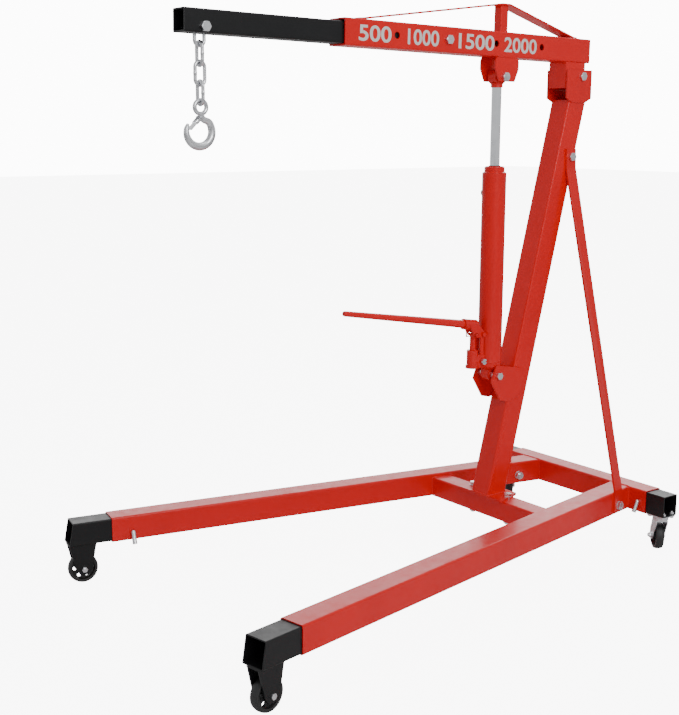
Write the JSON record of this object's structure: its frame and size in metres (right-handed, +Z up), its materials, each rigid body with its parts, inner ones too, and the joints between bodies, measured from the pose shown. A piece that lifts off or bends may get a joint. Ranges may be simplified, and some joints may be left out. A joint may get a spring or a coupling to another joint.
{
  "type": "shop crane",
  "caption": "Wheeled shop crane: splayed leg base, leaning braced post, hydraulic jack, telescopic boom with truss strap, and a hook on a short chain.",
  "frame": {"origin": "on the floor, under the middle of the bounding box", "axes": "+X forward along the boom, +Y to the crane's left, +Z up"},
  "size_m": [1.6996, 1.0812, 1.6877],
  "materials": {
    "red_paint": "gloss enamel",
    "black_paint": "satin",
    "wheel_rubber": "moulded, satin",
    "bare_steel": "machined",
    "chromed_rod": "polished",
    "black_rubber": "matt",
    "zinc_plated": "zinc plated"
  },
  "bodies": {
    "frame": {"rear_beam": "red_paint", "left_leg": "red_paint", "right_leg": "red_paint", "cross_member": "red_paint", "stub_lock_pins": "zinc_plated", "left_front_stub": "black_paint", "right_front_stub": "black_paint", "left_rear_stub": "black_paint", "right_rear_stub": "black_paint", "left_front_fork": "black_paint", "right_front_fork": "black_paint", "front_axle_bolts": "zinc_plated", "caster_top_plates": "zinc_plated", "caster_plate_bolts": "zinc_plated", "caster_races": "zinc_plated", "post_base_plate": "red_paint", "base_plate_bolts": "zinc_plated", "post": "red_paint", "head_cheeks": "red_paint", "boom_hinge_bolt": "zinc_plated", "left_brace": "red_paint", "right_brace": "red_paint", "brace_bolts": "zinc_plated", "lower_clevis_plates": "red_paint", "lower_clevis_bolt": "zinc_plated"},
    "boom": {"outer_boom": "red_paint", "boom_knuckle": "red_paint", "hinge_bush": "bare_steel", "boom_upright": "red_paint", "boom_strap": "red_paint", "jack_clevis_plates": "red_paint", "boom_bolts": "zinc_plated"},
    "boom_extension": {"inner_boom": "black_paint", "chain_bolt": "zinc_plated"},
    "chain_1": {"chain_link_1": "zinc_plated"},
    "chain_2": {"chain_link_2": "zinc_plated"},
    "chain_3": {"chain_link_3": "zinc_plated"},
    "chain_4": {"chain_link_4": "zinc_plated"},
    "load_hook": {"hook": "zinc_plated", "latch_pin": "zinc_plated"},
    "latch": {"hook_latch": "zinc_plated"},
    "jack": {"jack_tube": "red_paint", "filler_plug": "black_rubber", "jack_base": "red_paint", "pump_links": "red_paint", "gland_nut": "red_paint"},
    "jack_ram": {"ram": "chromed_rod", "ram_piston": "bare_steel"},
    "lever": {"handle_socket": "red_paint", "pump_handle": "red_paint"},
    "plunger": {"pump_plunger": "red_paint"},
    "valve": {"release_valve": "zinc_plated"},
    "front_wheel_left": {"left_front_wheel": "wheel_rubber"},
    "front_wheel_right": {"right_front_wheel": "wheel_rubber"},
    "caster_left": {"left_caster_fork": "zinc_plated", "left_rear_axle": "zinc_plated"},
    "caster_right": {"right_caster_fork": "zinc_plated", "right_rear_axle": "zinc_plated"},
    "rear_wheel_left": {"left_rear_wheel": "wheel_rubber"},
    "rear_wheel_right": {"right_rear_wheel": "wheel_rubber"}
  },
  "joints": [
    {"name": "boom_lift", "type": "hinge", "parent": "frame", "child": "boom", "pos_m": [-0.67896, 0, 1.4865], "axis": [0, -1, 0], "range_deg": [-25, 45]},
    {"name": "boom_reach", "type": "slide", "parent": "boom", "child": "boom_extension", "axis": [0.9999, 0, 0.0157], "range_m": [-0.3746, 0.1873]},
    {"name": "chain_swing_1", "type": "hinge", "parent": "boom_extension", "child": "chain_1", "pos_m": [0.65891, 0, 1.56932], "axis": [0, 1, 0], "range_deg": [-45, 45]},
    {"name": "chain_swing_2", "type": "hinge", "parent": "chain_1", "child": "chain_2", "pos_m": [0.65891, 0, 1.52497], "axis": [1, 0, 0], "range_deg": [-30, 30]},
    {"name": "chain_swing_3", "type": "hinge", "parent": "chain_2", "child": "chain_3", "pos_m": [0.65891, 0, 1.47737], "axis": [0, 1, 0], "range_deg": [-30, 30]},
    {"name": "chain_swing_4", "type": "hinge", "parent": "chain_3", "child": "chain_4", "pos_m": [0.65891, 0, 1.42977], "axis": [1, 0, 0], "range_deg": [-30, 30]},
    {"name": "hook_swing", "type": "hinge", "parent": "chain_4", "child": "load_hook", "pos_m": [0.65891, 0, 1.38217], "axis": [0, 1, 0], "range_deg": [-30, 30]},
    {"name": "latch_open", "type": "hinge", "parent": "load_hook", "child": "latch", "pos_m": [0.66191, 0, 1.35022], "axis": [0, 1, 0], "range_deg": [0, 38], "stiffness_Nm_per_rad": 0.05, "springref_deg": -5.73},
    {"name": "jack_tilt", "type": "hinge", "parent": "frame", "child": "jack", "pos_m": [-0.35596, 0, 0.575], "axis": [0, -1, 0], "range_deg": [-3, 4]},
    {"name": "ram_slide", "type": "slide", "parent": "jack", "child": "jack_ram", "axis": [0, 0, 1], "range_m": [-0.14, 0.246]},
    {"name": "pump_stroke", "type": "hinge", "parent": "jack", "child": "lever", "pos_m": [-0.31146, 0, 0.706], "axis": [0, -1, 0], "range_deg": [-30, 26]},
    {"name": "plunger_slide", "type": "slide", "parent": "jack", "child": "plunger", "axis": [0, 0, 1], "range_m": [-0.0148, 0.0128]},
    {"name": "valve_turn", "type": "hinge", "parent": "jack", "child": "valve", "pos_m": [-0.31146, 0, 0.622], "axis": [0, -1, 0], "range_deg": [0, 360]},
    {"name": "left_front_wheel_spin", "type": "hinge", "parent": "frame", "child": "front_wheel_left", "pos_m": [0.80046, 0.49885, 0.0445], "axis": [-0.1891, 0.982, 0], "continuous": true},
    {"name": "right_front_wheel_spin", "type": "hinge", "parent": "frame", "child": "front_wheel_right", "pos_m": [0.80046, -0.49885, 0.0445], "axis": [0.1891, 0.982, 0], "continuous": true},
    {"name": "left_caster_swivel", "type": "hinge", "parent": "frame", "child": "caster_left", "pos_m": [-0.79846, 0.34, 0.1], "axis": [0, 0, 1], "continuous": true},
    {"name": "left_rear_wheel_spin", "type": "hinge", "parent": "caster_left", "child": "rear_wheel_left", "pos_m": [-0.81511, 0.31749, 0.0445], "axis": [-0.8039, 0.5948, 0], "continuous": true},
    {"name": "right_caster_swivel", "type": "hinge", "parent": "frame", "child": "caster_right", "pos_m": [-0.79846, -0.34, 0.1], "axis": [0, 0, 1], "continuous": true},
    {"name": "right_rear_wheel_spin", "type": "hinge", "parent": "caster_right", "child": "rear_wheel_right", "pos_m": [-0.81511, -0.36251, 0.0445], "axis": [-0.8039, 0.5948, 0], "continuous": true}
  ],
  "couplings": [
    {"joint": "jack_tilt", "follows": "boom_lift", "ratio": 0.045},
    {"joint": "ram_slide", "follows": "boom_lift", "m_per_rad": 0.3125},
    {"joint": "plunger_slide", "follows": "pump_stroke", "m_per_rad": 0.028}
  ]
}
